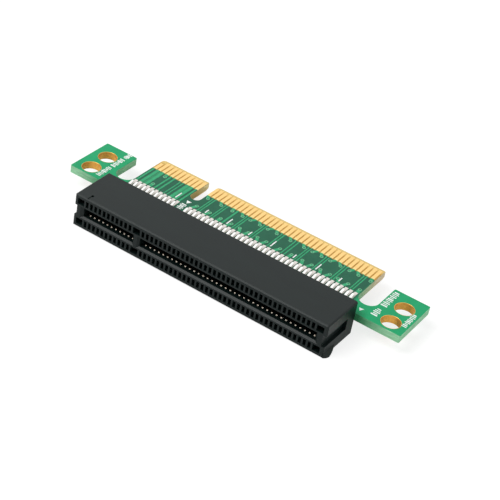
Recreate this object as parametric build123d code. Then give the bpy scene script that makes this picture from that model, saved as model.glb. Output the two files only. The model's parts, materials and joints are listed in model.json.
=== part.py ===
from build123d import *
import os
from math import hypot

# Card edge extension adapter: a straddle-mount socket soldered across the front edge of a
# small circuit board, whose rear edge is the matching card tab with plated fingers.
# +X runs along the contact rows, +Y from the socket's mouth to the tip of the tab, +Z up.
# The origin is the centre of the footprint, on the underside of the socket housing.
# All lengths are in millimetres.

# Contact field: two banks of contacts, short and long, with the key between them
pitch = 1.0
short_count = 11
long_count = 38
key_gap = 3.0

# Socket housing
slot_end_wall = 2.1
housing_depth = 10.2
housing_height = 7.1
housing_edge = 0.25
end_draft = 0.12
slot_depth = 7.4
slot_end_clearance = 0.15
mouth_depth = 0.4
mouth_end_flare = 0.65
mouth_side_flare = 0.34
key_width = 1.6
key_nose_width = 0.7
cell_width = 0.62
cell_depth = 7.2
window_height = 1.32
window_wall = 0.71
lip_depth = 1.2
end_pocket_width = 1.5
end_pocket_depth = 6.0
end_groove_depth = 0.65
end_groove_height = 2.4
end_groove_length = 7.3

# Retention ridge at the lower front corner of the housing's far end
ridge_proud = 0.78
ridge_peak = 1.45
ridge_length = 4.2
ridge_height = 1.0
ridge_nose_bulge = 0.16
ridge_ramp_bulge = 0.1

# First-contact mark moulded into the top of the housing
mark_width = 0.38
mark_depth = 0.1
mark_length = 1.5
mark_dimple_radius = 0.27
mark_dimple_depth = 0.3

# Contacts: one bent strip each, from its tip behind the lip to its tail on the pad
contact_width = 0.5
contact_thickness = 0.2
contact_tip_depth = 1.42
contact_tip_height = 1.2
contact_nose_depth = 3.5
contact_nose_height = 0.58
contact_heel_setback = 0.25
tail_length = 4.05
tail_flare_length = 1.3
tail_flare_rise = 0.38

# Circuit board
board_thickness = 1.57
board_depth = 15.65
tab_margin = 0.65
tab_corner = 0.35
tip_bevel_length = 1.05
tip_bevel_depth = 0.38
ear_width = 7.45
ear_depth = 11.65
ear_corner = 0.25
relief_width = 4.05
relief_web = 3.5
notch_clearance = 0.35
notch_depth = 7.65

# Mounting holes, two in each ear
hole_inset = 3.225
hole_spacing_y = 5.12
hole_row_y = 5.0
hole_radius = 1.9

# Plated fingers, tinned pads, tracks and printed marks
finger_width = 0.7
finger_length = 3.3
finger_thickness = 0.05
presence_finger_setback = 0.9
pad_width = 0.7
pad_setback = 0.25
pad_length = 5.1
pad_thickness = 0.1
track_thickness = 0.03
power_track_width = 0.66
signal_track_width = 0.36
pair_track_width = 0.27
pair_spacing = 0.52
wide_pair_spacing = 0.66
mark_ink_thickness = 0.02
tick_width = 0.24
tick_offset = 0.21
tick_gap = 0.65
long_tick = 2.1
short_tick = 1.3
arrow_radius = 0.65
arrow_offset = 1.45

# Which contact does what, counted from 1 at the short bank's end, on each face of the board
power_contacts = {"top": [2, 3, 9, 10], "bottom": [1, 2, 3, 8, 10]}
signal_contacts = {
    "top": [1, 5, 6, 11, 19],
    "bottom": [5, 6, 9, 11, 12, 17, 30, 31, 48],
}
pair_contacts = {
    "top": [7, 13, 16, 21, 25, 29, 32, 35, 39, 43, 47],
    "bottom": [14, 19, 23, 27, 33, 37, 41, 45],
}
wide_pairs = {"top": [7, 32], "bottom": []}
# How far a track runs beside its contact, or a pair beside the middle of its two
track_shifts = {"top": {1: -0.15, 2: -0.15, 6: -0.1, 7: 0.15, 32: 0.17, 47: 0.2}, "bottom": {}}
presence_contacts = {"top": [1], "bottom": [17, 31, 48]}

# Places that follow from the dimensions
contact_count = short_count + long_count
field_length = (contact_count - 2) * pitch + key_gap
first_contact_x = -field_length / 2
tab_width = field_length + 2 * tab_margin
board_width = tab_width + 2 * (relief_width + ear_width)
hole_spacing_x = board_width - 2 * hole_inset
key_x = first_contact_x + (short_count - 1) * pitch + key_gap / 2
mouth_y = -(housing_depth + board_depth) / 2
seam_y = mouth_y + housing_depth
tip_y = seam_y + board_depth
middle_z = housing_height / 2
board_face = board_thickness / 2
tail_seat = board_face + pad_thickness
slot_half_height = tail_seat
slot_half_length = tab_width / 2 + slot_end_clearance
housing_length = 2 * (slot_half_length + slot_end_wall)
window_top = housing_height / 2 - window_wall
window_bottom = window_top - window_height
notch_width = key_width + 2 * notch_clearance
relief_x = (tab_width + relief_width) / 2
hole_centre_y = seam_y + hole_row_y
notch_y = tip_y - notch_depth
bevel_y = tip_y - tip_bevel_length
finger_y = bevel_y - finger_length
pad_y = seam_y + pad_setback

faces = {"top": 1, "bottom": -1}
banks = {"short": range(1, short_count + 1), "long": range(short_count + 1, contact_count + 1)}


def contact_x(number):
    """Place along X of a contact, counted from 1."""
    step = (number - 1) * pitch
    if number > short_count:
        step += key_gap - pitch
    return first_contact_x + step


def block(x_low, x_high, y_low, y_high, z_low, z_high):
    """A box between two corners."""
    solid = Box(x_high - x_low, y_high - y_low, z_high - z_low)
    return Pos((x_low + x_high) / 2, (y_low + y_high) / 2, (z_low + z_high) / 2) * solid


def layer(x_centre, width, y_low, y_high, low, high, face):
    """A flat plate on one face of the board, its heights measured out from the middle plane."""
    z_ends = sorted([middle_z + faces[face] * low, middle_z + faces[face] * high])
    return block(x_centre - width / 2, x_centre + width / 2, y_low, y_high, *z_ends)


def side_prism(outline, x_centre, width, face):
    """A prism along X. The outline is (depth from the mouth, height from the middle plane)."""
    points = [(x_centre, mouth_y + depth, middle_z + faces[face] * height) for depth, height in outline]
    profile = make_face(Polyline(*points, close=True))
    return extrude(profile, width / 2, dir=(1, 0, 0), both=True)


def strip_sides(path, thickness):
    """The inner and outer side of a bent strip, with mitred corners."""
    normals = []
    for start, end in zip(path, path[1:]):
        run, rise = end[0] - start[0], end[1] - start[1]
        length = hypot(run, rise)
        normals.append((-rise / length, run / length))
    inner, outer = [], []
    for index, (depth, height) in enumerate(path):
        before = normals[max(index - 1, 0)]
        after = normals[min(index, len(normals) - 1)]
        scale = thickness / 2 / (1 + before[0] * after[0] + before[1] * after[1])
        across = ((before[0] + after[0]) * scale, (before[1] + after[1]) * scale)
        inner.append((depth - across[0], height - across[1]))
        outer.append((depth + across[0], height + across[1]))
    return inner, outer


# Side profile of a contact: its path, and the two sides of the strip along it
heel_depth = cell_depth - contact_heel_setback
tail_end = housing_depth + tail_length
tail_centre = tail_seat + contact_thickness / 2
contact_path = [
    (contact_tip_depth, contact_tip_height),
    (contact_nose_depth, contact_nose_height),
    (heel_depth, tail_centre),
    (tail_end - tail_flare_length, tail_centre),
    (tail_end, tail_centre + tail_flare_rise),
]
contact_inner, contact_outer = strip_sides(contact_path, contact_thickness)


def mouth(x_low, x_high, low_flare, high_flare):
    """One bank's slot with the flared lead-in at its mouth."""
    slot = block(x_low, x_high, mouth_y, mouth_y + slot_depth,
                 middle_z - slot_half_height, middle_z + slot_half_height)
    length = x_high - x_low + low_flare + high_flare
    height = 2 * (slot_half_height + mouth_side_flare)
    flare = Wedge(length, mouth_depth, height, low_flare, mouth_side_flare,
                  length - high_flare, height - mouth_side_flare,
                  align=(Align.MIN, Align.MIN, Align.CENTER))
    return slot + Pos(x_low - low_flare, mouth_y, middle_z) * flare


def cell(number, face):
    """The cell of one contact: a window in the front, open to the slot behind the lip."""
    outline = [
        (0, window_bottom),
        (0, window_top),
        (cell_depth, window_top),
        (cell_depth, tail_seat),
        (lip_depth, tail_seat),
        (lip_depth, window_bottom),
    ]
    return side_prism(outline, contact_x(number), cell_width, face)


def tail_channel(numbers, face):
    """The slit in the rear wall that the tails of one bank leave through."""
    half_cell = cell_width / 2
    ends = contact_x(numbers[0]) - half_cell, contact_x(numbers[-1]) + half_cell
    return layer(sum(ends) / 2, ends[1] - ends[0], mouth_y + cell_depth, seam_y,
                 tail_seat, tail_seat + contact_thickness, face)


def pockets(face):
    """The three wide pockets of one row: one at each end and one in line with the key."""
    rib = pitch - cell_width
    end_x = contact_x(contact_count) + cell_width / 2 + rib + end_pocket_width / 2
    key_pocket_width = key_gap - cell_width - 2 * rib
    places = [(-end_x, end_pocket_width), (key_x, key_pocket_width), (end_x, end_pocket_width)]
    return [layer(x, width, mouth_y, mouth_y + end_pocket_depth, window_bottom, window_top, face)
            for x, width in places]


def retention_ridge():
    """A low cam on the end wall: a rounded nose, a peak and a long full ramp back to the wall."""
    wall = housing_length / 2
    start = (wall, mouth_y + housing_edge / 2)
    peak = (wall + ridge_proud, mouth_y + ridge_peak)
    finish = (wall, mouth_y + ridge_length)
    ramp = ((peak[0] + finish[0]) / 2 + ridge_ramp_bulge, (peak[1] + finish[1]) / 2)
    nose = ((start[0] + peak[0]) / 2 + ridge_nose_bulge, (start[1] + peak[1]) / 2 - ridge_nose_bulge)
    plan = make_face([ThreePointArc(start, nose, peak), ThreePointArc(peak, ramp, finish), Line(finish, start)])
    slope = make_face(Polyline(
        (wall, mouth_y, 0),
        (wall + ridge_proud, mouth_y, 0),
        (wall + ridge_proud, mouth_y, ridge_height - ridge_proud),
        (wall, mouth_y, ridge_height),
        close=True,
    ))
    return extrude(plan, ridge_height) & extrude(slope, ridge_length, dir=(0, 1, 0))


def make_housing():
    """The moulded socket housing with its slot, cells, pockets, grooves and ridge."""
    front, rear = housing_length / 2, housing_length / 2 + end_draft
    plan = make_face(Polyline((-front, mouth_y), (front, mouth_y), (rear, seam_y), (-rear, seam_y), close=True))
    body = extrude(plan, housing_height)
    # The ends keep their sharp lower edges.
    broken = [edge for edge in body.edges() if edge.center().Z > housing_edge or abs(edge.center().X) < front / 2]
    body = chamfer(broken, housing_edge)
    body += retention_ridge()
    key_side = key_width / 2
    key_flare = (key_width - key_nose_width) / 2
    cuts = [
        mouth(-slot_half_length, key_x - key_side, mouth_end_flare, key_flare),
        mouth(key_x + key_side, slot_half_length, key_flare, mouth_end_flare),
    ]
    for face in faces:
        cuts += pockets(face)
        for numbers in banks.values():
            cuts += [cell(number, face) for number in numbers]
            cuts.append(tail_channel(numbers, face))
    groove_floor = housing_length / 2 - end_groove_depth
    for side in (-1, 1):
        x_ends = sorted([side * groove_floor, side * housing_length])
        cuts.append(block(*x_ends, mouth_y, mouth_y + end_groove_length,
                          middle_z - end_groove_height / 2, middle_z + end_groove_height / 2))
    mark_x = contact_x(1)
    mark_floor = housing_height - mark_depth
    cuts.append(block(mark_x - mark_width / 2, mark_x + mark_width / 2, mouth_y, mouth_y + mark_length,
                      mark_floor, housing_height))
    dimple = Cylinder(mark_dimple_radius, mark_dimple_depth, align=(Align.CENTER, Align.CENTER, Align.MIN))
    cuts.append(Pos(mark_x, mouth_y + mark_length, housing_height - mark_dimple_depth) * dimple)
    return body - cuts


def make_board():
    """The laminate with its ears, reliefs, key notch, holes and bevelled tab."""
    tab_y = (seam_y + tip_y) / 2
    outline = Pos(0, seam_y + ear_depth / 2) * Rectangle(board_width, ear_depth)
    outline += Pos(0, tab_y) * Rectangle(tab_width, board_depth)
    relief_centre_y = seam_y + relief_web + relief_width / 2
    for x, width, y in ((-relief_x, relief_width, relief_centre_y), (relief_x, relief_width, relief_centre_y),
                        (key_x, notch_width, notch_y + notch_width / 2)):
        outline -= Pos(x, y + board_depth / 2) * Rectangle(width, board_depth)
        outline -= Pos(x, y) * Circle(width / 2)
    outer = [v for v in outline.vertices() if abs(v.X) > relief_x]
    ear_corners = [v for v in outer if v.Y < seam_y + ear_corner or v.Y > seam_y + ear_depth - ear_corner]
    outline = fillet(ear_corners, ear_corner)
    tab_corners = [v for v in outline.vertices() if v.Y > tip_y - tab_corner]
    outline = chamfer(tab_corners, tab_corner)
    outline -= [Pos(x, y) * Circle(hole_radius) for x, y in hole_places()]
    board = Pos(0, 0, middle_z) * extrude(outline, board_thickness / 2, both=True)
    bevel_start = bevel_y - mouth_y
    tip = tip_y - mouth_y
    for face in faces:
        bevel = [(bevel_start, board_face), (tip, board_face), (tip, board_face - tip_bevel_depth)]
        board -= side_prism(bevel, 0, tab_width, face)
    return board


def hole_places():
    """Centres of the mounting holes, two in each ear."""
    return [(side * hole_spacing_x / 2, hole_centre_y + end * hole_spacing_y / 2)
            for side in (-1, 1) for end in (-1, 1)]


def make_contacts(numbers, face):
    """The contacts of one bank, on one face."""
    outline = contact_inner + contact_outer[::-1]
    return [side_prism(outline, contact_x(number), contact_width, face) for number in numbers]


def make_pads(numbers, face):
    """Tinned pads, each as thick as the solder film between the board and the tail."""
    return [layer(contact_x(number), pad_width, pad_y, pad_y + pad_length, board_face, tail_seat, face)
            for number in numbers]


def make_fingers(numbers, face):
    """Plated fingers. The presence fingers stop short, so that they mate last."""
    solids = []
    for number in numbers:
        end_y = bevel_y
        if number in presence_contacts[face]:
            end_y -= presence_finger_setback
        solids.append(layer(contact_x(number), finger_width, finger_y, end_y,
                            board_face, board_face + finger_thickness, face))
    return solids


def make_track(x, width, face):
    """A straight track between the pads and the fingers."""
    return layer(x, width, pad_y + pad_length, finger_y, board_face, board_face + track_thickness, face)


def make_tracks(numbers, width, face):
    """The tracks that join each of these contacts to its own finger."""
    shifts = track_shifts[face]
    return [make_track(contact_x(number) + shifts.get(number, 0), width, face) for number in numbers]


def make_pair_tracks(face):
    """The paired tracks, which run closer together than the contacts that they join."""
    solids = []
    for number in pair_contacts[face]:
        centre = (contact_x(number) + contact_x(number + 1)) / 2 + track_shifts[face].get(number, 0)
        spacing = wide_pair_spacing if number in wide_pairs[face] else pair_spacing
        for side in (-1, 1):
            solids.append(make_track(centre + side * spacing / 2, pair_track_width, face))
    return solids


def make_printed_marks():
    """Counting ticks at every fifth contact and a triangle at the key, on the top face."""
    tick_y = pad_y + pad_length + tick_gap
    marks = []
    for number in range(10, contact_count, 5):
        length = long_tick if number % 10 == 0 else short_tick
        x = contact_x(number) - tick_offset
        # A tick beside a power contact, or at the second contact of a pair, is printed on its track.
        on_track = number in power_contacts["top"] or number - 1 in pair_contacts["top"]
        low = board_face + (track_thickness if on_track else 0)
        marks.append(layer(x, tick_width, tick_y, tick_y + length, low, low + mark_ink_thickness, "top"))
    arrow = RegularPolygon(arrow_radius, 3, rotation=-90)
    arrow = Pos(key_x, notch_y - arrow_offset, middle_z + board_face) * arrow
    marks.append(extrude(arrow, mark_ink_thickness))
    return marks


parts = {
    "housing": [make_housing()],
    "circuit_board": [make_board()],
}
for face in faces:
    for bank, numbers in banks.items():
        parts[f"contacts_{face}_{bank}"] = make_contacts(numbers, face)
        parts[f"pads_{face}_{bank}"] = make_pads(numbers, face)
        parts[f"fingers_{face}_{bank}"] = make_fingers(numbers, face)
    parts[f"power_tracks_{face}"] = make_tracks(power_contacts[face], power_track_width, face)
    parts[f"signal_tracks_{face}"] = make_tracks(signal_contacts[face], signal_track_width, face)
    parts[f"pair_tracks_{face}"] = make_pair_tracks(face)
parts["printed_marks"] = make_printed_marks()

os.makedirs("parts", exist_ok=True)
for name, solids in parts.items():
    export_step(solids[0] if len(solids) == 1 else Compound(children=solids), f"parts/{name}.step")
    print(name, len(solids), "solids")
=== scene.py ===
"""Looks of a straight card slot extension adapter.

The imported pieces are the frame. This script gives them their finishes, puts rounded contacts in the
place of the sharply bent ones, and adds the solder, the ground copper under the mask, the vias, the
hole plating and the print, each where the real board has it.
"""
import json

import bmesh
import bpy
import numpy as np
from mathutils import Matrix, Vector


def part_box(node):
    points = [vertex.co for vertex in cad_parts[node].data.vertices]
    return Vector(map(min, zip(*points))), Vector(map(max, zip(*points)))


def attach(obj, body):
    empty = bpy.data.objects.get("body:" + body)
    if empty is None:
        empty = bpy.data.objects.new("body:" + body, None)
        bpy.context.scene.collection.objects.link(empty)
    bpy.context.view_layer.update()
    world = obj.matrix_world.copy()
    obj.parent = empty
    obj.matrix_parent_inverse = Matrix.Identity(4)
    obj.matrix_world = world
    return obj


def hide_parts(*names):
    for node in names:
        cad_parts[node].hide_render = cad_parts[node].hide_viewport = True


bl_info = {
    "name": "Card slot extension adapter",
    "version": (1, 0, 0),
    "blender": (4, 5, 0),
    "location": "3D View > Sidebar > Adapter",
    "description": "Finishes and fine pieces of a card slot extension adapter",
    "category": "Object",
}

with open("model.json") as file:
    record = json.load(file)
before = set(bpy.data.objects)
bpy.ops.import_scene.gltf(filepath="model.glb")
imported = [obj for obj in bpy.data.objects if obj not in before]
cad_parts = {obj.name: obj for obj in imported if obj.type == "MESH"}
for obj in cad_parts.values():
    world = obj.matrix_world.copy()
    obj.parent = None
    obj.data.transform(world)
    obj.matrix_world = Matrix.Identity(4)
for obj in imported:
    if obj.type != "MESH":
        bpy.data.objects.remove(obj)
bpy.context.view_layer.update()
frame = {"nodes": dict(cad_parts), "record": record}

# Lengths below are in millimetres, and MM turns them to Blender's metres
MM = 0.001
FACES = {"top": 1, "bottom": -1}
CONTACT_COUNTS = {"short": 11, "long": 38}
PITCH = 1.0
BODY = "root"

# Ground contacts on each face, counted from 1 at the short bank's end, each with how far its two vias
# lie beside it along X: the one at its finger, then the one at its pad
GROUND_VIAS = {
    "top": {4: (0.1, -0.05), 12: (0.45, 0.45), 15: (0.6, 0.45), 18: (0.2, 0.0), 20: (0.6, 0.5), 23: (-0.6, -0.6),
            24: (0.6, 0.4), 27: (-0.6, -0.55), 28: (0.45, 0.45), 31: (0.55, 0.55), 34: (0.6, 0.1),
            37: (-0.55, -0.5), 38: (0.5, 0.55), 41: (-0.6, -0.55), 42: (0.65, 0.55), 45: (-0.4, -0.7),
            46: (0.55, 0.5), 49: (0.15, 0.0)},
    "bottom": {4: (0.1, 0.0), 7: (0.5, 0.5), 13: (0.5, 0.45), 16: (0.55, 0.5), 18: (0.5, 0.5), 21: (-0.55, -0.55),
               22: (0.55, 0.5), 25: (-0.55, -0.5), 26: (0.55, 0.5), 29: (0.5, 0.5), 32: (0.5, 0.5),
               35: (-0.55, -0.5), 36: (0.5, 0.55), 39: (-0.55, -0.5), 40: (0.55, 0.5), 43: (-0.5, -0.5),
               44: (0.5, 0.5), 47: (0.5, 0.5), 49: (0.1, 0.0)},
}
# First contact of each track pair, with the pair's shift along X and the distance between its two tracks
TRACK_PAIRS = {
    "top": {7: (0.15, 0.66), 13: (0, 0.52), 16: (0, 0.52), 21: (0, 0.52), 25: (0, 0.52), 29: (0, 0.52),
            32: (0.17, 0.66), 35: (0, 0.52), 39: (0, 0.52), 43: (0, 0.52), 47: (0.2, 0.52)},
    "bottom": {number: (0, 0.52) for number in (14, 19, 23, 27, 33, 37, 41, 45)},
}
# Neighbouring power contacts whose copper is one area
POWER_JOINS = {"top": [2, 9], "bottom": [1, 2]}


def node_box(name):
    """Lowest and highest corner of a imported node, in millimetres."""
    return [np.array(corner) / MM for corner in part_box(name)]


def bank_places(bank):
    """Places along X of one bank's contacts, in millimetres."""
    low, high = node_box(f"fingers_top_{bank}")
    half_finger = (high[0] - low[0] - (CONTACT_COUNTS[bank] - 1) * PITCH) / 2
    return low[0] + half_finger + PITCH * np.arange(CONTACT_COUNTS[bank])


housing_low, housing_high = node_box("housing")
board_low, board_high = node_box("circuit_board")
finger_low, finger_high = node_box("fingers_top_long")
pad_low, pad_high = node_box("pads_top_long")
MOUTH_Y, SEAM_Y, TIP_Y = housing_low[1], board_low[1], board_high[1]
MIDDLE_Z = (board_low[2] + board_high[2]) / 2
BOARD_FACE = (board_high[2] - board_low[2]) / 2
PAD_FACE = pad_high[2] - MIDDLE_Z
FINGER_START, BEVEL_START = finger_low[1], finger_high[1]
PAD_END = pad_high[1]
contact_places = np.concatenate([bank_places(bank) for bank in CONTACT_COUNTS])
TAB_HALF_WIDTH = contact_places[-1] + 0.65
# How far behind the mouth the contacts' tips stand
TIP_DEPTH = 1.42
KEY_X = (contact_places[CONTACT_COUNTS["short"] - 1] + contact_places[CONTACT_COUNTS["short"]]) / 2

holes = next(mount for mount in frame["record"]["mounts"] if mount["name"] == "mounting_holes")
HOLE_RADIUS = holes["dims"]["hole_r_mm"]
HOLE_CENTRES = [
    (side * holes["dims"]["spacing_x_mm"] / 2, holes["pos_m"][1] / MM + end * holes["dims"]["spacing_y_mm"] / 2)
    for side in (-1, 1) for end in (-1, 1)
]


def linear(hex_colour):
    """An sRGB hex value as a linear colour with alpha."""
    channels = np.array([int(hex_colour[place:place + 2], 16) for place in (1, 3, 5)]) / 255
    bright = ((channels + 0.055) / 1.055) ** 2.4
    return (*np.where(channels <= 0.04045, channels / 12.92, bright).tolist(), 1.0)


def colour_setting(name, hex_colour, description):
    """A colour that the user can change, with its default as an sRGB hex value."""
    return bpy.props.FloatVectorProperty(name=name, description=description, subtype="COLOR", size=4,
                                         min=0, max=1, default=linear(hex_colour))


def length_setting(name, millimetres, description):
    """A length that the user can change, with its default in millimetres."""
    return bpy.props.FloatProperty(name=name, description=description, unit="LENGTH", min=0,
                                   precision=5, default=millimetres * MM)


class AdapterColours(bpy.types.PropertyGroup):
    """Colours of the adapter's finishes."""
    housing: colour_setting("Housing", "#0a1514", "Black glass-filled moulding of the socket")
    mask_dark: colour_setting("Mask on laminate", "#27644c", "Solder mask where no copper lies under it")
    mask_bright: colour_setting("Mask on the ears", "#22a46c", "Solder mask on the ears and their webs")
    mask_copper: colour_setting("Mask on copper", "#37a874", "Solder mask over tracks and ground copper")
    edge_pale: colour_setting("Milled edge", "#9ad2a8", "Routed laminate edge round the ears")
    # Painted shade: the routed front edge is painted a deeper green where the ears meet the housing.
    edge_housing_shade: colour_setting("Milled edge by the housing", "#3d8f60", "Routed front edge where the ears begin")
    edge_notch: colour_setting("Milled edge of the notch", "#d9c788", "Routed edge deep in the key notch")
    edge_notch_tip: colour_setting("Milled edge at the notch's mouth", "#fff0b8", "Routed edge where the notch opens")
    # The rims' paler green is partly the thin mask over copper, partly a painted highlight on their edges.
    mask_rim_and_highlight: colour_setting("Mask on a via's rim", "#86c49c", "Thin solder mask over the rims of the vias")
    edge_beige: colour_setting("Milled edge of the tab", "#ead6b4", "Routed laminate edge of the tab")
    laminate: colour_setting("Bare laminate", "#c39a50", "Unmasked laminate between the fingers")
    bevel: colour_setting("Bevelled tip", "#f0d184", "Ground bevel at the tip of the tab")
    gold: colour_setting("Gold", "#f3cb84", "Hard gold plating of the fingers")
    tin: colour_setting("Tin", "#fbfaf7", "Tin plating of the contacts' tails")
    # Painted shade: the nickel inside the housing is painted dark, as the slot is in shade.
    nickel_with_painted_shade: colour_setting("Spring", "#443525", "Nickel plating of the contacts inside the housing")
    # The lighter tip is partly its plating and partly a painted highlight, where the contacts glint in the slot.
    tip_plating_and_highlight: colour_setting("Contact tip", "#8e887e", "Bright plated tip of a contact")
    solder: colour_setting("Solder", "#dbd5d0", "Reflowed solder on the pads")
    hole_plating: colour_setting("Hole plating", "#e6ac56", "Plated wall of the mounting holes")
    ink: colour_setting("Ink", "#fafffc", "Screen-printed marks")
    floor: colour_setting("Floor", "#f2f2f2", "Floor that the adapter stands on")


class AdapterSizes(bpy.types.PropertyGroup):
    """Sizes of the fine pieces."""
    contact_width: length_setting("Contact width", 0.5, "Width of a contact strip")
    contact_thickness: length_setting("Contact thickness", 0.2, "Thickness of a contact strip")
    fillet_height: length_setting("Solder height", 0.3, "Height of the solder at the end of a tail")
    copper_height: length_setting("Copper height", 0.03, "How far masked copper stands out of the board")
    via_radius: length_setting("Via radius", 0.37, "Outer radius of a masked via")
    rim_width: length_setting("Rim width", 0.04, "Width of the plated rim round a mounting hole")
    ink_height: length_setting("Ink height", 0.02, "Thickness of the print")


class AdapterStudio(bpy.types.PropertyGroup):
    """Light of the studio."""
    sky: bpy.props.FloatProperty(name="Sky", description="Strength of the even light from all round",
                                 min=0, default=0.41)
    key: bpy.props.FloatProperty(name="Key", description="Power of the soft light overhead, in watts",
                                 unit="POWER", min=0, default=2.8)
    rear: bpy.props.FloatProperty(name="Rear", description="Power of the soft light behind, in watts",
                                  unit="POWER", min=0, default=0.15)
    side: bpy.props.FloatProperty(name="Side", description="Power of the soft light at the right, in watts",
                                  unit="POWER", min=0, default=0.75)


def add_node(tree, kind, inputs=None, **settings):
    """Adds a node. inputs maps a socket's name or index to a value, or to the output that feeds it."""
    made = tree.nodes.new(kind)
    for key, value in settings.items():
        setattr(made, key, value)
    for key, value in (inputs or {}).items():
        if isinstance(value, bpy.types.NodeSocket):
            tree.links.new(value, made.inputs[key])
        else:
            made.inputs[key].default_value = value
    return made


def start_material(name):
    """A new material with an empty node tree, and the output that gives Object coordinates."""
    material = bpy.data.materials.new(name)
    material.use_nodes = True
    tree = material.node_tree
    tree.nodes.clear()
    return material, tree, add_node(tree, "ShaderNodeTexCoord").outputs["Object"]


def per_metre(millimetres):
    """The scale of a noise whose grains are this large."""
    return 1 / (millimetres * MM)


def moulded_housing():
    """Glass-filled liquid crystal polymer, injection moulded: a black, dry satin with a fine grain.

    The glass gives it faint grey flow marks along the part and a soft gleam on every moulded edge.
    """
    material, tree, place = start_material("moulded_glass_filled_polymer")
    colours = bpy.context.scene.adapter_colours
    flow = add_node(tree, "ShaderNodeMapping", {"Vector": place, "Scale": (0.25, 1, 1)})
    marks = add_node(tree, "ShaderNodeTexNoise", {"Vector": flow.outputs[0], "Scale": per_metre(2.2), "Detail": 4.0})
    grain = add_node(tree, "ShaderNodeTexNoise", {"Vector": place, "Scale": per_metre(0.16), "Detail": 2.0})
    lighter = tuple(min(1.0, 1.6 * channel) for channel in colours.housing[:3]) + (1.0,)
    shade = add_node(tree, "ShaderNodeMapRange", {"Value": marks.outputs["Fac"], "From Min": 0.35, "From Max": 0.75,
                                                  "To Max": 0.45})
    colour = add_node(tree, "ShaderNodeMix", {0: shade.outputs[0], 6: tuple(colours.housing), 7: lighter},
                      data_type="RGBA")
    gloss = add_node(tree, "ShaderNodeMapRange", {"Value": grain.outputs["Fac"], "To Min": 0.34, "To Max": 0.45})
    edge = add_node(tree, "ShaderNodeBevel", {"Radius": 0.06 * MM}, samples=4)
    bump = add_node(tree, "ShaderNodeBump", {"Height": grain.outputs["Fac"], "Strength": 0.25,
                                             "Distance": 0.02 * MM, "Normal": edge.outputs[0]})
    shader = add_node(tree, "ShaderNodeBsdfPrincipled", {"Base Color": colour.outputs[2],
                                                         "Roughness": gloss.outputs[0], "Normal": bump.outputs[0]})
    shader.inputs["Specular IOR Level"].default_value = 0.22
    add_node(tree, "ShaderNodeOutputMaterial", {"Surface": shader.outputs[0]})
    return material


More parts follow.
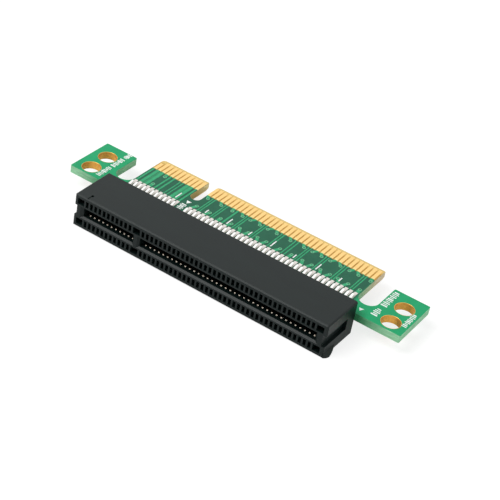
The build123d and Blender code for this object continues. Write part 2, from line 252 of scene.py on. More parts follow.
def masked_laminate():
    """Glass-epoxy laminate under green solder mask, routed to shape.

    The flat faces are glossy mask, dark over bare laminate and bright on the ears. The routed edges
    are matt and pale, with the glass layers as faint lines, and turn beige on the tab. Past the mask's
    edge the laminate is bare between the fingers, and the ground bevel at the tip is yellow. The routed
    front edge beside the housing is darkened by painted shade.
    """
    material, tree, place = start_material("solder_mask_on_glass_epoxy")
    colours = bpy.context.scene.adapter_colours
    axes = add_node(tree, "ShaderNodeSeparateXYZ", {0: place})
    normal = add_node(tree, "ShaderNodeSeparateXYZ", {0: add_node(tree, "ShaderNodeNewGeometry").outputs["Normal"]})
    flatness = add_node(tree, "ShaderNodeMath", {0: normal.outputs["Z"]}, operation="ABSOLUTE")
    is_face = add_node(tree, "ShaderNodeMath", {0: flatness.outputs[0], 1: 0.5}, operation="GREATER_THAN")
    from_middle = add_node(tree, "ShaderNodeMath", {0: axes.outputs["X"]}, operation="ABSOLUTE")
    on_ear = add_node(tree, "ShaderNodeMapRange", {"Value": from_middle.outputs[0],
                                                   "From Min": (TAB_HALF_WIDTH - 0.3) * MM,
                                                   "From Max": (TAB_HALF_WIDTH + 0.5) * MM})
    unmasked = add_node(tree, "ShaderNodeMapRange", {"Value": axes.outputs["Y"],
                                                     "From Min": (FINGER_START - 0.14) * MM,
                                                     "From Max": (FINGER_START - 0.06) * MM})
    is_tab = add_node(tree, "ShaderNodeMath", {0: from_middle.outputs[0], 1: (TAB_HALF_WIDTH + 0.1) * MM},
                      operation="LESS_THAN")
    bare = add_node(tree, "ShaderNodeMath", {0: unmasked.outputs[0], 1: is_tab.outputs[0]}, operation="MULTIPLY")
    at_tip = add_node(tree, "ShaderNodeMapRange", {"Value": axes.outputs["Y"],
                                                   "From Min": (BEVEL_START - 1.2) * MM,
                                                   "From Max": (BEVEL_START + 0.02) * MM})
    tab_beige = add_node(tree, "ShaderNodeMapRange", {"Value": axes.outputs["Y"], "From Min": (SEAM_Y + 5) * MM,
                                                      "From Max": (FINGER_START + 1) * MM})
    edge_beige = add_node(tree, "ShaderNodeMath", {0: tab_beige.outputs[0], 1: is_tab.outputs[0]},
                          operation="MULTIPLY")
    is_front = add_node(tree, "ShaderNodeMath", {0: normal.outputs["Y"], 1: -0.5}, operation="LESS_THAN")
    # Painted shade on the routed front edge: darkest beside the housing, fading out along the ears.
    housing_shade_ramp = add_node(tree, "ShaderNodeMapRange", {"Value": from_middle.outputs[0],
                                                         "From Min": (TAB_HALF_WIDTH + 3) * MM,
                                                         "From Max": (TAB_HALF_WIDTH + 9) * MM,
                                                         "To Min": 1.0, "To Max": 0.0})
    deep = add_node(tree, "ShaderNodeMath", {0: housing_shade_ramp.outputs[0], 1: is_front.outputs[0]},
                    operation="MULTIPLY")
    from_key = add_node(tree, "ShaderNodeMath", {0: axes.outputs["X"], 1: KEY_X * MM}, operation="SUBTRACT")
    from_key = add_node(tree, "ShaderNodeMath", {0: from_key.outputs[0]}, operation="ABSOLUTE")
    in_notch = add_node(tree, "ShaderNodeMath", {0: from_key.outputs[0], 1: PITCH * 1.5 * MM},
                        operation="LESS_THAN")
    layers = add_node(tree, "ShaderNodeMapping", {"Vector": place, "Scale": (0.12, 0.12, 1)})
    glass = add_node(tree, "ShaderNodeTexNoise", {"Vector": layers.outputs[0], "Scale": per_metre(0.2), "Detail": 3.0})
    mottle = add_node(tree, "ShaderNodeTexNoise", {"Vector": place, "Scale": per_metre(1.8), "Detail": 3.0})

    mask = add_node(tree, "ShaderNodeMix", {0: on_ear.outputs[0], 6: tuple(colours.mask_dark),
                                            7: tuple(colours.mask_bright)}, data_type="RGBA")
    mask_shade = add_node(tree, "ShaderNodeMapRange", {"Value": mottle.outputs["Fac"], "From Min": 0.3,
                                                       "From Max": 0.7, "To Min": 0.93, "To Max": 1.07})
    mask_toned = add_node(tree, "ShaderNodeVectorMath", {0: mask.outputs[2], "Scale": mask_shade.outputs[0]},
                          operation="SCALE")
    laminate = add_node(tree, "ShaderNodeMix", {0: at_tip.outputs[0], 6: tuple(colours.laminate),
                                                7: tuple(colours.bevel)}, data_type="RGBA")
    face = add_node(tree, "ShaderNodeMix", {0: bare.outputs[0], 6: mask_toned.outputs[0], 7: laminate.outputs[2]},
                    data_type="RGBA")
    edge = add_node(tree, "ShaderNodeMix", {0: edge_beige.outputs[0], 6: tuple(colours.edge_pale),
                                            7: tuple(colours.edge_beige)}, data_type="RGBA")
    # The front edge takes the painted shade beside the housing.
    edge = add_node(tree, "ShaderNodeMix", {0: deep.outputs[0], 6: edge.outputs[2],
                                            7: tuple(colours.edge_housing_shade)}, data_type="RGBA")
    notch_mouth = add_node(tree, "ShaderNodeMapRange", {"Value": axes.outputs["Y"],
                                                        "From Min": (FINGER_START + 0.5) * MM,
                                                        "From Max": BEVEL_START * MM})
    notch = add_node(tree, "ShaderNodeMix", {0: notch_mouth.outputs[0], 6: tuple(colours.edge_notch),
                                             7: tuple(colours.edge_notch_tip)}, data_type="RGBA")
    edge = add_node(tree, "ShaderNodeMix", {0: in_notch.outputs[0], 6: edge.outputs[2], 7: notch.outputs[2]},
                    data_type="RGBA")
    edge_shade = add_node(tree, "ShaderNodeMapRange", {"Value": glass.outputs["Fac"], "From Min": 0.3,
                                                       "From Max": 0.7, "To Min": 0.75, "To Max": 1.1})
    edge_toned = add_node(tree, "ShaderNodeVectorMath", {0: edge.outputs[2], "Scale": edge_shade.outputs[0]},
                          operation="SCALE")
    colour = add_node(tree, "ShaderNodeMix", {0: is_face.outputs[0], 6: edge_toned.outputs[0], 7: face.outputs[2]},
                      data_type="RGBA")
    masked = add_node(tree, "ShaderNodeMath", {0: is_face.outputs[0], 1: bare.outputs[0]}, operation="SUBTRACT")
    roughness = add_node(tree, "ShaderNodeMapRange", {"Value": masked.outputs[0], "To Min": 0.62, "To Max": 0.32})
    bump = add_node(tree, "ShaderNodeBump", {"Height": glass.outputs["Fac"], "Strength": 0.2,
                                             "Distance": 0.01 * MM})
    shader = add_node(tree, "ShaderNodeBsdfPrincipled", {"Base Color": colour.outputs[2],
                                                         "Roughness": roughness.outputs[0],
                                                         "Normal": bump.outputs[0],
                                                         "Specular IOR Level": 0.1})
    add_node(tree, "ShaderNodeOutputMaterial", {"Surface": shader.outputs[0]})
    return material


def masked_copper(name, green):
    """Copper track under green solder mask: a brighter, slightly waxy green with a clear gloss."""
    material, tree, place = start_material(name)
    mottle = add_node(tree, "ShaderNodeTexNoise", {"Vector": place, "Scale": per_metre(0.9), "Detail": 3.0})
    shade = add_node(tree, "ShaderNodeMapRange", {"Value": mottle.outputs["Fac"], "From Min": 0.3, "From Max": 0.7,
                                                  "To Min": 0.88, "To Max": 1.1})
    colour = add_node(tree, "ShaderNodeVectorMath", {0: tuple(green)[:3], "Scale": shade.outputs[0]}, operation="SCALE")
    shader = add_node(tree, "ShaderNodeBsdfPrincipled", {"Base Color": colour.outputs[0], "Roughness": 0.3,
                                                         "Specular IOR Level": 0.14})
    add_node(tree, "ShaderNodeOutputMaterial", {"Surface": shader.outputs[0]})
    return material


def gold_plating():
    """Hard gold on nickel, electroplated: satin yellow metal, rubbed along the fingers by use.

    The roots of the fingers are paler, where the plating thins out under the mask's edge.
    """
    material, tree, place = start_material("hard_gold_plating")
    colours = bpy.context.scene.adapter_colours
    axes = add_node(tree, "ShaderNodeSeparateXYZ", {0: place})
    root = add_node(tree, "ShaderNodeMapRange", {"Value": axes.outputs["Y"], "From Min": FINGER_START * MM,
                                                 "From Max": (FINGER_START + 0.55) * MM, "To Min": 0.6, "To Max": 0.0})
    rubbed = add_node(tree, "ShaderNodeMapping", {"Vector": place, "Scale": (1, 0.06, 1)})
    lines = add_node(tree, "ShaderNodeTexNoise", {"Vector": rubbed.outputs[0], "Scale": per_metre(0.12), "Detail": 3.0})
    pale = add_node(tree, "ShaderNodeMix", {0: root.outputs[0], 6: tuple(colours.gold), 7: linear("#e9e0a6")},
                    data_type="RGBA")
    gloss = add_node(tree, "ShaderNodeMapRange", {"Value": lines.outputs["Fac"], "From Min": 0.3, "From Max": 0.7,
                                                  "To Min": 0.28, "To Max": 0.42})
    bump = add_node(tree, "ShaderNodeBump", {"Height": lines.outputs["Fac"], "Strength": 0.15,
                                             "Distance": 0.005 * MM})
    shader = add_node(tree, "ShaderNodeBsdfPrincipled", {"Base Color": pale.outputs[2], "Metallic": 1.0,
                                                         "Roughness": gloss.outputs[0], "Normal": bump.outputs[0]})
    add_node(tree, "ShaderNodeOutputMaterial", {"Surface": shader.outputs[0]})
    return material


def grained_metal(name, colour, grain_mm, roughness, bump_mm):
    """A metal with a fine uneven grain in its gloss and its surface."""
    material, tree, place = start_material(name)
    grain = add_node(tree, "ShaderNodeTexNoise", {"Vector": place, "Scale": per_metre(grain_mm), "Detail": 3.0})
    gloss = add_node(tree, "ShaderNodeMapRange", {"Value": grain.outputs["Fac"], "From Min": 0.3, "From Max": 0.7,
                                                  "To Min": roughness * 0.8, "To Max": roughness * 1.25})
    bump = add_node(tree, "ShaderNodeBump", {"Height": grain.outputs["Fac"], "Strength": 0.3,
                                             "Distance": bump_mm * MM})
    shader = add_node(tree, "ShaderNodeBsdfPrincipled", {"Base Color": tuple(colour), "Metallic": 1.0,
                                                         "Roughness": gloss.outputs[0], "Normal": bump.outputs[0]})
    add_node(tree, "ShaderNodeOutputMaterial", {"Surface": shader.outputs[0]})
    return material


def contact_plating():
    """Stamped copper alloy: matt tin on the tails, nickel in the housing painted dark as shade, and a bright plated tip
    that is partly a painted highlight.
    """
    material, tree, place = start_material("tin_and_nickel_plating")
    colours = bpy.context.scene.adapter_colours
    axes = add_node(tree, "ShaderNodeSeparateXYZ", {0: place})
    grain = add_node(tree, "ShaderNodeTexNoise", {"Vector": place, "Scale": per_metre(0.15), "Detail": 3.0})
    outside = add_node(tree, "ShaderNodeMapRange", {"Value": axes.outputs["Y"], "From Min": (SEAM_Y - 0.6) * MM,
                                                    "From Max": (SEAM_Y - 0.3) * MM})
    # Painted highlight, partly plating: the tip is lighter than the painted shade on the rest inside the housing.
    tip_highlight_zone = add_node(tree, "ShaderNodeMapRange", {"Value": axes.outputs["Y"],
                                                   "From Min": (MOUTH_Y + TIP_DEPTH + 0.16) * MM,
                                                   "From Max": (MOUTH_Y + TIP_DEPTH + 0.04) * MM})
    # Inside the housing the contact takes the painted shade, except at its tip.
    housed_shade_and_tip = add_node(tree, "ShaderNodeMix", {0: tip_highlight_zone.outputs[0], 6: tuple(colours.nickel_with_painted_shade),
                                             7: tuple(colours.tip_plating_and_highlight)}, data_type="RGBA")
    colour = add_node(tree, "ShaderNodeMix", {0: outside.outputs[0], 6: housed_shade_and_tip.outputs[2], 7: tuple(colours.tin)},
                      data_type="RGBA")
    gloss = add_node(tree, "ShaderNodeMapRange", {"Value": grain.outputs["Fac"], "From Min": 0.3, "From Max": 0.7,
                                                  "To Min": 0.25, "To Max": 0.38})
    bump = add_node(tree, "ShaderNodeBump", {"Height": grain.outputs["Fac"], "Strength": 0.3, "Distance": 0.004 * MM})
    shader = add_node(tree, "ShaderNodeBsdfPrincipled", {"Base Color": colour.outputs[2], "Metallic": 1.0,
                                                         "Roughness": gloss.outputs[0], "Normal": bump.outputs[0]})
    add_node(tree, "ShaderNodeOutputMaterial", {"Surface": shader.outputs[0]})
    return material


def reflowed_solder():
    """Lead-free solder, melted and set: greyer than the tin, a little wrinkled."""
    return grained_metal("reflowed_solder", bpy.context.scene.adapter_colours.solder, 0.22, 0.34, 0.02)


def hole_plating():
    """Copper plated through the drilled hole, under a thin gold flash: warm, uneven from the drill."""
    return grained_metal("plated_hole_copper", bpy.context.scene.adapter_colours.hole_plating, 0.35, 0.36, 0.03)


def printed_ink():
    """White epoxy ink, screen printed: matt, a little thin at its rims."""
    material, tree, place = start_material("screen_printed_ink")
    grain = add_node(tree, "ShaderNodeTexNoise", {"Vector": place, "Scale": per_metre(0.2), "Detail": 2.0})
    shade = add_node(tree, "ShaderNodeMapRange", {"Value": grain.outputs["Fac"], "To Min": 0.9, "To Max": 1.02})
    colour = add_node(tree, "ShaderNodeVectorMath", {0: tuple(bpy.context.scene.adapter_colours.ink)[:3],
                                                     "Scale": shade.outputs[0]}, operation="SCALE")
    shader = add_node(tree, "ShaderNodeBsdfPrincipled", {"Base Color": colour.outputs[0], "Roughness": 0.6})
    add_node(tree, "ShaderNodeOutputMaterial", {"Surface": shader.outputs[0]})
    return material


def paint_node(name, material):
    """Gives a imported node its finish."""
    slots = frame["nodes"][name].data.materials
    slots.clear()
    slots.append(material)


def make_piece(name, rings, material, joined=False, sharp_degrees=35):
    """Makes one piece from rings shaped (copies, rings, points, 3), in millimetres.

    The skin of each copy runs from ring to ring and closes round every ring. It ends in a flat cap at
    both ends, or, where it is joined, its last ring runs on into its first.
    """
    rings = np.asarray(rings, float)
    copies, count, around, _ = rings.shape
    first = (np.arange(copies) * count * around)[:, None, None]
    ring = np.arange(count if joined else count - 1)[None, :, None]
    here, ahead = ring * around, (ring + 1) % count * around
    step = np.arange(around)[None, None, :]
    turn = (step + 1) % around
    corners = [first + here + step, first + here + turn, first + ahead + turn, first + ahead + step]
    faces = np.stack(corners, -1).reshape(-1, 4).tolist()
    if not joined:
        faces += (first[:, 0] + step[0]).tolist() + (first[:, 0] + (count - 1) * around + step[0]).tolist()
    mesh = bpy.data.meshes.new(name)
    mesh.from_pydata((rings.reshape(-1, 3) * MM).tolist(), [], faces)
    work = bmesh.new()
    work.from_mesh(mesh)
    bmesh.ops.recalc_face_normals(work, faces=work.faces)
    work.to_mesh(mesh)
    work.free()
    mesh.polygons.foreach_set("use_smooth", np.ones(len(mesh.polygons), bool))
    mesh.set_sharp_from_angle(angle=np.radians(sharp_degrees))
    mesh.materials.append(material)
    piece = bpy.data.objects.new(name, mesh)
    bpy.context.scene.collection.objects.link(piece)
    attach(piece, BODY)
    return piece


def rounded_path(corners, reach, samples):
    """A path whose corners are parabolas, each from its reach before the corner to its reach after it."""
    corners = np.asarray(corners, float)
    reach = np.asarray(reach, float)[:, None]
    middle = corners[1:-1]
    back, on = corners[:-2] - middle, corners[2:] - middle
    start = middle + back / np.linalg.norm(back, axis=1, keepdims=True) * reach
    end = middle + on / np.linalg.norm(on, axis=1, keepdims=True) * reach
    t = np.linspace(0, 1, samples)[None, :, None]
    curve = (1 - t) ** 2 * start[:, None] + 2 * t * (1 - t) * middle[:, None] + t ** 2 * end[:, None]
    return np.concatenate([corners[:1], curve.reshape(-1, corners.shape[1]), corners[-1:]])


def strip_rings(path, half_width, thickness, x_places, sign):
    """Rings of strips that follow one side path of (depth, height) at each of the places along X.

    Each ring is a flat hexagon across the strip's tangent: the outer side's two corners are broken.
    """
    tangent = np.gradient(path, axis=0)
    tangent /= np.linalg.norm(tangent, axis=1, keepdims=True)
    normal = np.stack([-tangent[:, 1], tangent[:, 0]], axis=1)
    across = np.array([-1, -1, -0.72, 0.72, 1, 1])
    out = np.array([-0.5, 0.28, 0.5, 0.5, 0.28, -0.5]) * thickness
    side = half_width[:, None] * across
    profile = path[:, None, :] + normal[:, None, :] * out[None, :, None]
    depth, height = profile[..., 0], profile[..., 1]
    rings = np.stack([side, MOUTH_Y + depth, MIDDLE_Z + sign * height], axis=-1)
    shift = np.zeros((len(x_places), 1, 1, 3))
    shift[:, 0, 0, 0] = x_places
    return rings[None] + shift


def plate_rings(x, half_width, y, low, high, sign, edge=0.03):
    """Rings of low plates on a board face. x, half_width and y are arrays (copies, stations).

    Each ring is a trapezium: its top is narrower than its foot by the sloping edge on both sides.
    """
    slope = np.minimum(edge, half_width * 0.5)
    sides = np.stack([-half_width, slope - half_width, half_width - slope, half_width], axis=-1)
    heights = np.array([low, high, high, low]) * sign + MIDDLE_Z
    full = sides.shape
    return np.stack([x[..., None] + sides, np.broadcast_to(y[..., None], full),
                     np.broadcast_to(heights, full)], axis=-1)


def turned_rings(profile, centres, sign, segments):
    """Rings round upright axes at the centres, one for each (radius, height) point of the profile."""
    angle = np.linspace(0, 2 * np.pi, segments, endpoint=False)
    radius, height = np.asarray(profile, float).T
    rings = np.stack([radius[:, None] * np.cos(angle), radius[:, None] * np.sin(angle),
                      np.broadcast_to(MIDDLE_Z + sign * height[:, None], (len(radius), segments))], axis=-1)
    shift = np.zeros((len(centres), 1, 1, 3))
    shift[:, 0, 0, :2] = centres
    return rings[None] + shift


class ADAPTER_OT_housing(bpy.types.Operator):
    """Finish the moulded housing"""
    bl_idname = "adapter.housing"
    bl_label = "Housing"

    def execute(self, context):
        paint_node("housing", moulded_housing())
        return {"FINISHED"}


class ADAPTER_OT_board(bpy.types.Operator):
    """Finish the circuit board with its mask, bare laminate and routed edges"""
    bl_idname = "adapter.board"
    bl_label = "Circuit board"

    def execute(self, context):
        paint_node("circuit_board", masked_laminate())
        return {"FINISHED"}


class ADAPTER_OT_fingers(bpy.types.Operator):
    """Finish the gold fingers"""
    bl_idname = "adapter.fingers"
    bl_label = "Fingers"

    def execute(self, context):
        gold = gold_plating()
        for face in FACES:
            for bank in CONTACT_COUNTS:
                paint_node(f"fingers_{face}_{bank}", gold)
        return {"FINISHED"}


class ADAPTER_OT_contacts(bpy.types.Operator):
    """Make the contacts with their real rounded bends, narrow tips and rounded tail ends"""
    bl_idname = "adapter.contacts"
    bl_label = "Contacts"

    # Corners of a contact's side: (depth from the mouth, height from the middle plane)
    tip = (TIP_DEPTH, 1.2)
    tip_bend = (1.62, 0.86)
    nose = (3.5, 0.58)
    heel_depth = 6.95
    flare_length = 1.3
    flare_rise = 0.38
    bend_reach = (0.15, 0.9, 0.5, 0.5)
    tip_taper = 0.9
    tip_share = 0.45
    end_rounding = 0.22

    def execute(self, context):
        sizes = context.scene.adapter_sizes
        width, thickness = sizes.contact_width / MM, sizes.contact_thickness / MM
        low, high = node_box("contacts_top_long")
        tail_end = high[1] - MOUTH_Y
        tail = PAD_FACE + thickness / 2
        corners = [self.tip, self.tip_bend, self.nose, (self.heel_depth, tail),
                   (tail_end - self.flare_length, tail), (tail_end, tail + self.flare_rise)]
        path = rounded_path(corners, self.bend_reach, 4)
        path = np.insert(path, [1, len(path) - 1], [(path[0] * 2 + path[1]) / 3, (path[-1] * 2 + path[-2]) / 3], axis=0)
        run = np.concatenate([[0], np.cumsum(np.linalg.norm(np.diff(path, axis=0), axis=1))])
        taper = np.interp(run, [0, self.tip_taper], [self.tip_share, 1])
        ending = np.interp(run[-1] - run, [0, self.end_rounding], [0.6, 1])
        half_width = width / 2 * taper * ending
        plating = contact_plating()
        for face, sign in FACES.items():
            for bank in CONTACT_COUNTS:
                rings = strip_rings(path, half_width, thickness, bank_places(bank), sign)
                node = f"contacts_{face}_{bank}"
                piece = make_piece(f"{node}_formed", rings, plating, sharp_degrees=50)
                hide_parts(node)
        return {"FINISHED"}


class ADAPTER_OT_solder(bpy.types.Operator):
    """Make the solder that wets each tail and runs out over its pad"""
    bl_idname = "adapter.solder"
    bl_label = "Solder"

    start = 2.3
    crest = 4.0
    side_share = 0.9
    film = 0.03

    def execute(self, context):
        solder = reflowed_solder()
        for face in FACES:
            for bank in CONTACT_COUNTS:
                paint_node(f"pads_{face}_{bank}", solder)
        height = context.scene.adapter_sizes.fillet_height / MM
        low, high = node_box("pads_top_short")
        half_pad = (high[0] - low[0] - (CONTACT_COUNTS["short"] - 1) * PITCH) / 2
        y = np.linspace(SEAM_Y + self.start, PAD_END - 0.02, 13)
        crest_y = SEAM_Y + self.crest
        # The crest climbs under the tail to its end, then falls in a hollow curve to a film at the pad's end.
        rise = np.interp(y, [y[0], crest_y], [0.4, 1])
        fall = np.clip((PAD_END - y) / (PAD_END - crest_y), 0, 1) ** 1.6
        crest = self.film + (height - self.film) * np.minimum(rise, fall)
        half_width = half_pad * self.side_share * np.interp(PAD_END - y, [0, 0.25], [0.72, 1])
        angle = np.linspace(0, np.pi, 9)
        side = half_width[:, None] * np.cos(angle)
        top = PAD_FACE + crest[:, None] * np.sin(angle) ** 1.4
        for face, sign in FACES.items():
            rings = np.stack([side, np.broadcast_to(y[:, None], side.shape), MIDDLE_Z + sign * top], axis=-1)
            shift = np.zeros((len(contact_places), 1, 1, 3))
            shift[:, 0, 0, 0] = contact_places
            make_piece(f"solder_{face}", rings[None] + shift, solder, sharp_degrees=60)
        return {"FINISHED"}


class ADAPTER_OT_copper(bpy.types.Operator):
    """Finish the tracks, and make the bent pairs, the ground copper and the vias under the mask"""
    bl_idname = "adapter.copper"
    bl_label = "Masked copper"

    lobe_half_width = 0.33
    lobe_height = 0.012
    finger_via = 1.0
    pad_via = 1.33
    pair_width = 0.25
    pair_bend = 0.4

    def make_pairs(self, face, sign, top, copper):
        """Each track leaves its pad in line with the contact, bends beside its partner, and bends back."""
        numbers = np.array(list(TRACK_PAIRS[face]))
        shift, spacing = np.array(list(TRACK_PAIRS[face].values()), float).T
        middle = (contact_places[numbers - 1] + contact_places[numbers]) / 2 + shift
        tracks = np.concatenate([middle - spacing / 2, middle + spacing / 2])
        contacts = np.concatenate([contact_places[numbers - 1], contact_places[numbers]])
        y = np.array([PAD_END, PAD_END + 0.1, PAD_END + self.pair_bend, FINGER_START - self.pair_bend,
                      FINGER_START - 0.1, FINGER_START])
        share = np.array([0.15, 0.3, 1, 1, 0.3, 0.15])
        x = contacts[:, None] * (1 - share) + tracks[:, None] * share
        half_width = np.full(x.shape, self.pair_width / 2)
        piece = make_piece(f"pair_tracks_{face}_bent", plate_rings(x, half_width, np.broadcast_to(y, x.shape),
                                                                   BOARD_FACE, top, sign), copper)
        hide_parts(f"pair_tracks_{face}")

    def make_joins(self, face, sign, top, copper):
        """The copper between neighbouring power contacts, a little lower than the tracks, and painted darker as shade.
        """
        first = np.array(POWER_JOINS[face])
        x = (contact_places[first - 1] + contact_places[first]) / 2
        x = np.repeat(x[:, None], 2, axis=1)
        y = np.broadcast_to([PAD_END, FINGER_START], x.shape)
        rings = plate_rings(x, np.full(x.shape, 0.26), y, BOARD_FACE, top * 0.35 + BOARD_FACE * 0.65, sign)
        make_piece(f"power_copper_{face}", rings, copper)

    def execute(self, context):
        sizes, colours = context.scene.adapter_sizes, context.scene.adapter_colours
        copper = masked_copper("solder_mask_on_copper", colours.mask_copper)
        # Painted shade: the low copper between power tracks and the mask sunk in the vias are painted at 0.72 of the
        # copper's green.
        shaded = masked_copper("solder_mask_on_low_copper", [channel * 0.72 for channel in colours.mask_copper])
        # The via rims' paler green is partly thin mask, partly a painted highlight.
        rim = masked_copper("solder_mask_on_via_rims", colours.mask_rim_and_highlight)
        height, radius = sizes.copper_height / MM, sizes.via_radius / MM
        top = BOARD_FACE + height
        t = np.linspace(0, 1, 13)
        for face, sign in FACES.items():
            for kind in ("power", "signal"):
                paint_node(f"{kind}_tracks_{face}", copper)
            self.make_pairs(face, sign, top, copper)
            self.make_joins(face, sign, top, shaded)
            x = contact_places[np.array(list(GROUND_VIAS[face])) - 1]
            drifts = np.array(list(GROUND_VIAS[face].values()))
            rings, vias = [], []
            for start, reach, drift in ((FINGER_START, -self.finger_via, drifts[:, 0]),
                                        (PAD_END, self.pad_via, drifts[:, 1])):
                # The lobe runs askew to its via, and ends in a half circle round the via's centre.
                length = abs(reach) + radius
                run = t * length
                past = np.clip(run - abs(reach), 0, radius) / radius
                half_width = np.interp(run, [0, abs(reach)], [self.lobe_half_width, radius])
                half_width = half_width * np.sqrt(np.clip(1 - past ** 2, 0.01, 1))
                sway = np.clip((run - 0.15) / (abs(reach) - 0.15), 0, 1)
                centre = x[:, None] + drift[:, None] * sway
                y = start + np.sign(reach) * run
                rings.append(plate_rings(centre, np.broadcast_to(half_width, centre.shape),
                                         np.broadcast_to(y, centre.shape), BOARD_FACE,
                                         BOARD_FACE + self.lobe_height, sign))
                vias += list(zip(x + drift, np.full(len(x), start + reach)))
            make_piece(f"ground_copper_{face}", np.concatenate(rings), copper)
            # A masked via: a low rim, and the mask sinks into its hole, where it is painted darker as shade.
            rims = [(radius, BOARD_FACE), (radius - 0.03, top), (radius * 0.74, top), (radius * 0.68, BOARD_FACE)]
            # The rim's paler green is partly thin mask over copper, partly a painted highlight.
            make_piece(f"via_rims_{face}", turned_rings(rims, vias, sign, 16), rim)
            plugs = [(radius * 0.5, BOARD_FACE), (radius * 0.5, top - 0.01), (radius * 0.3, top - 0.013),
                     (radius * 0.1, top - 0.013)]
            make_piece(f"via_plugs_{face}", turned_rings(plugs, vias, sign, 12), shaded)
        return {"FINISHED"}


class ADAPTER_OT_holes(bpy.types.Operator):
    """Make the plating of the mounting holes, with its narrow rims on both faces"""
    bl_idname = "adapter.holes"
    bl_label = "Hole plating"

    wall = 0.03
    collar = 0.02

    def execute(self, context):
        rim = HOLE_RADIUS + context.scene.adapter_sizes.rim_width / MM
        bore = HOLE_RADIUS - self.wall
        outside = BOARD_FACE + self.collar
        angle = np.linspace(0, 2 * np.pi, 48, endpoint=False)
        profile = np.array([(bore, -outside + 0.02), (bore + 0.02, -outside), (rim, -outside), (rim, -BOARD_FACE),
                            (rim, BOARD_FACE), (rim, outside), (bore + 0.02, outside), (bore, outside - 0.02)])
        radius, height = profile.T
        # The rings stand round the axis, one for each angle, and each is the section of the wall.
        rings = np.stack([np.cos(angle)[:, None] * radius, np.sin(angle)[:, None] * radius,
                          np.broadcast_to(MIDDLE_Z + height, (len(angle), len(radius)))], axis=-1)
        shift = np.zeros((len(HOLE_CENTRES), 1, 1, 3))
        shift[:, 0, 0, :2] = HOLE_CENTRES
        make_piece("hole_plating", rings[None] + shift, hole_plating(), joined=True)
        return {"FINISHED"}


class ADAPTER_OT_print(bpy.types.Operator):
    """Finish the printed marks, and print plain rows of bars on the ears and beside the key"""
    bl_idname = "adapter.print"
    bl_label = "Print"

    bar_step = 0.5
    # Widths along Y and shares of the full length, taken in turn so that the rows look lively
    bar_widths = (0.34, 0.2, 0.28, 0.2, 0.24)
    bar_shares = (1.0, 0.72, 1.0, 0.86, 0.6, 1.0, 0.8)
    arrow_radius = 0.55
    arrow_centre = (28.05, 1.75)
    hole_x = HOLE_CENTRES[-1][0]
    # Each row of bars: its middle along X, its bars' length, its two ends along Y, from the seam
    rows = [
        (hole_x - 3.35, 1.35, 1.95, 4.2),
        (hole_x - 3.35, 1.35, 5.6, 10.85),
        (hole_x + 2.3, 1.1, 2.85, 7.35),
        (2.6 - hole_x, 1.15, 1.1, 5.0),
        (2.6 - hole_x, 1.15, 5.75, 9.1),
        (2.6 - hole_x, 1.15, 9.75, 11.5),
        (KEY_X - 0.15, 1.3, 3.45, 5.45),
    ]

    def execute(self, context):
        ink = printed_ink()
        paint_node("printed_marks", ink)
        x, length, y = [], [], []
        for middle, bar_length, start, end in self.rows:
            count = round((end - start) / self.bar_step) + 1
            x += [middle] * count
            length += [bar_length] * count
            y += (SEAM_Y + np.linspace(start + 0.13, end - 0.13, count)).tolist()
        x, length, y = (np.array(values)[:, None] for values in (x, length, y))
        order = np.arange(len(x))
        width = np.take(self.bar_widths, order % len(self.bar_widths))[:, None]
        length = length * np.take(self.bar_shares, order % len(self.bar_shares))[:, None]
        stations = np.array([-0.5, -0.38, 0.38, 0.5]) * width
        half_width = length / 2 - np.array([0.06, 0, 0, 0.06])
        height = BOARD_FACE + context.scene.adapter_sizes.ink_height / MM
        rings = plate_rings(np.broadcast_to(x, half_width.shape), half_width, y + stations, BOARD_FACE, height, 1)
        make_piece("printed_bars", rings, ink)
        # The triangle on the right web narrows from its broad side to its tip.
        arrow_x = np.full((1, 2), self.arrow_centre[0])
        arrow_y = SEAM_Y + self.arrow_centre[1] + self.arrow_radius * np.array([[0.5, -1.0]])
        arrow_width = self.arrow_radius * np.array([[0.87, 0.05]])
        make_piece("printed_triangle", plate_rings(arrow_x, arrow_width, arrow_y, BOARD_FACE, height, 1), ink)
        return {"FINISHED"}


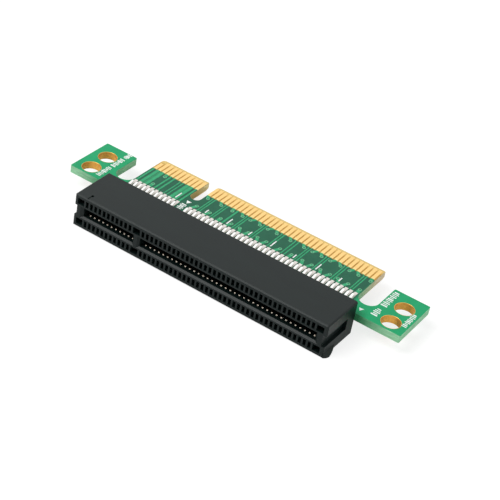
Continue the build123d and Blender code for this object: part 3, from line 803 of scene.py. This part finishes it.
class ADAPTER_OT_stage(bpy.types.Operator):
    """Set up the white floor, the soft light and the camera"""
    bl_idname = "adapter.stage"
    bl_label = "Stage"

    # The camera was solved from the photograph, in millimetres, degrees and pixels of its 500
    camera_place = (106.654, -199.074, 160.425)
    camera_azimuth = 27.405
    camera_elevation = 34.916
    camera_roll = 10.858
    focal_pixels = 1477.07
    picture_pixels = 500
    floor_size = 4.0
    # Each lamp: name, size, place and power setting; all look at the middle of the adapter
    lamps = [
        ("key_light", 0.4, (-0.24, -0.29, 0.52), "key"),
        ("rear_light", 0.5, (-0.26, 0.5, 0.4), "rear"),
        ("side_light", 0.4, (0.6, -0.15, 0.25), "side"),
    ]

    def make_floor(self):
        """A white sheet that keeps a faint shadow, and is clear from below."""
        colours = bpy.context.scene.adapter_colours
        material, tree, _ = start_material("white_studio_floor")
        rays = add_node(tree, "ShaderNodeLightPath").outputs
        seen = add_node(tree, "ShaderNodeMath", {0: rays["Is Camera Ray"], 1: rays["Is Glossy Ray"]},
                        operation="MAXIMUM")
        seen = add_node(tree, "ShaderNodeMath", {0: seen.outputs[0], 1: rays["Is Transmission Ray"]},
                        operation="MAXIMUM")
        paper = add_node(tree, "ShaderNodeBsdfDiffuse", {"Color": tuple(colours.floor)})
        # The camera sees a glow that leaves a faint shadow. A reflection sees more of the shadow.
        views = []
        for shade, strength in ((0.34, 0.76), (0.85, 0.15)):
            dim_paper = add_node(tree, "ShaderNodeBsdfDiffuse", {"Color": (shade, shade, shade, 1)})
            glow = add_node(tree, "ShaderNodeEmission", {"Strength": strength})
            views.append(add_node(tree, "ShaderNodeAddShader", {0: dim_paper.outputs[0], 1: glow.outputs[0]}))
        camera_view, mirror_view = views
        shown = add_node(tree, "ShaderNodeMixShader", {0: rays["Is Camera Ray"], 1: mirror_view.outputs[0],
                                                       2: camera_view.outputs[0]})
        lit = add_node(tree, "ShaderNodeMixShader", {0: seen.outputs[0], 1: paper.outputs[0], 2: shown.outputs[0]})
        below = add_node(tree, "ShaderNodeNewGeometry").outputs["Backfacing"]
        clear = add_node(tree, "ShaderNodeBsdfTransparent")
        both = add_node(tree, "ShaderNodeMixShader", {0: below, 1: lit.outputs[0], 2: clear.outputs[0]})
        add_node(tree, "ShaderNodeOutputMaterial", {"Surface": both.outputs[0]})
        reach = self.floor_size / 2
        mesh = bpy.data.meshes.new("floor")
        mesh.from_pydata([(-reach, -reach, 0), (reach, -reach, 0), (reach, reach, 0), (-reach, reach, 0)], [],
                         [(0, 1, 2, 3)])
        mesh.materials.append(material)
        floor = bpy.data.objects.new("floor", mesh)
        bpy.context.scene.collection.objects.link(floor)

    def make_world(self):
        """An even white sky, at full white where the camera or a reflection sees it."""
        world = bpy.data.worlds.new("white_studio")
        world.use_nodes = True
        tree = world.node_tree
        tree.nodes.clear()
        rays = add_node(tree, "ShaderNodeLightPath").outputs
        seen = add_node(tree, "ShaderNodeMath", {0: rays["Is Camera Ray"], 1: rays["Is Glossy Ray"]},
                        operation="MAXIMUM")
        seen = add_node(tree, "ShaderNodeMath", {0: seen.outputs[0], 1: rays["Is Transmission Ray"]},
                        operation="MAXIMUM")
        strength = add_node(tree, "ShaderNodeMapRange", {"Value": seen.outputs[0],
                                                         "To Min": bpy.context.scene.adapter_studio.sky, "To Max": 1.0})
        sky = add_node(tree, "ShaderNodeBackground", {"Color": (1, 1, 1, 1), "Strength": strength.outputs[0]})
        add_node(tree, "ShaderNodeOutputWorld", {"Surface": sky.outputs[0]})
        bpy.context.scene.world = world

    def make_lamps(self):
        """Square soft lights, each turned to the middle of the adapter."""
        studio = bpy.context.scene.adapter_studio
        for name, size, place, setting in self.lamps:
            lamp = bpy.data.lights.new(name, "AREA")
            lamp.size = size
            lamp.energy = getattr(studio, setting)
            holder = bpy.data.objects.new(name, lamp)
            backward = np.array(place) / np.linalg.norm(place)
            right = np.cross([0, 0, 1], backward)
            right /= np.linalg.norm(right)
            turn = np.eye(4)
            turn[:3, :3] = np.stack([right, np.cross(backward, right), backward], axis=1)
            turn[:3, 3] = place
            holder.matrix_world = Matrix(turn.tolist())
            bpy.context.scene.collection.objects.link(holder)

    def make_camera(self):
        """The camera of the photograph."""
        camera = bpy.data.cameras.new("camera")
        camera.sensor_fit = "HORIZONTAL"
        camera.lens = self.focal_pixels / self.picture_pixels * camera.sensor_width
        camera.clip_start = 0.01
        holder = bpy.data.objects.new("camera", camera)
        heading, tilt, roll = np.radians([self.camera_azimuth, 90 - self.camera_elevation, self.camera_roll])
        turn = Matrix.Rotation(heading, 4, "Z") @ Matrix.Rotation(tilt, 4, "X") @ Matrix.Rotation(roll, 4, "Z")
        holder.matrix_world = Matrix.Translation([value * MM for value in self.camera_place]) @ turn
        bpy.context.scene.collection.objects.link(holder)
        bpy.context.scene.camera = holder

    def execute(self, context):
        self.make_floor()
        self.make_world()
        self.make_lamps()
        self.make_camera()
        context.scene.view_settings.view_transform = "Standard"
        return {"FINISHED"}


OPERATORS = (
    ADAPTER_OT_stage,
    ADAPTER_OT_housing,
    ADAPTER_OT_board,
    ADAPTER_OT_fingers,
    ADAPTER_OT_contacts,
    ADAPTER_OT_solder,
    ADAPTER_OT_copper,
    ADAPTER_OT_holes,
    ADAPTER_OT_print,
)
SETTINGS = {"adapter_colours": AdapterColours, "adapter_sizes": AdapterSizes, "adapter_studio": AdapterStudio}


class ADAPTER_PT_panel(bpy.types.Panel):
    """Buttons for each group of pieces"""
    bl_idname = "ADAPTER_PT_panel"
    bl_label = "Card slot adapter"
    bl_space_type = "VIEW_3D"
    bl_region_type = "UI"
    bl_category = "Adapter"

    def draw(self, context):
        for operator in OPERATORS:
            self.layout.operator(operator.bl_idname)
        for name, group in SETTINGS.items():
            box = self.layout.box()
            for setting in group.__annotations__:
                box.prop(getattr(context.scene, name), setting)


CLASSES = (*SETTINGS.values(), *OPERATORS, ADAPTER_PT_panel)


def register():
    for registered in CLASSES:
        bpy.utils.register_class(registered)
    for name, group in SETTINGS.items():
        setattr(bpy.types.Scene, name, bpy.props.PointerProperty(type=group))


def unregister():
    for name in SETTINGS:
        delattr(bpy.types.Scene, name)
    for registered in reversed(CLASSES):
        bpy.utils.unregister_class(registered)


def main():
    register()
    for operator in OPERATORS:
        group, name = operator.bl_idname.split(".")
        getattr(getattr(bpy.ops, group), name)()


if __name__ == "__main__":
    main()
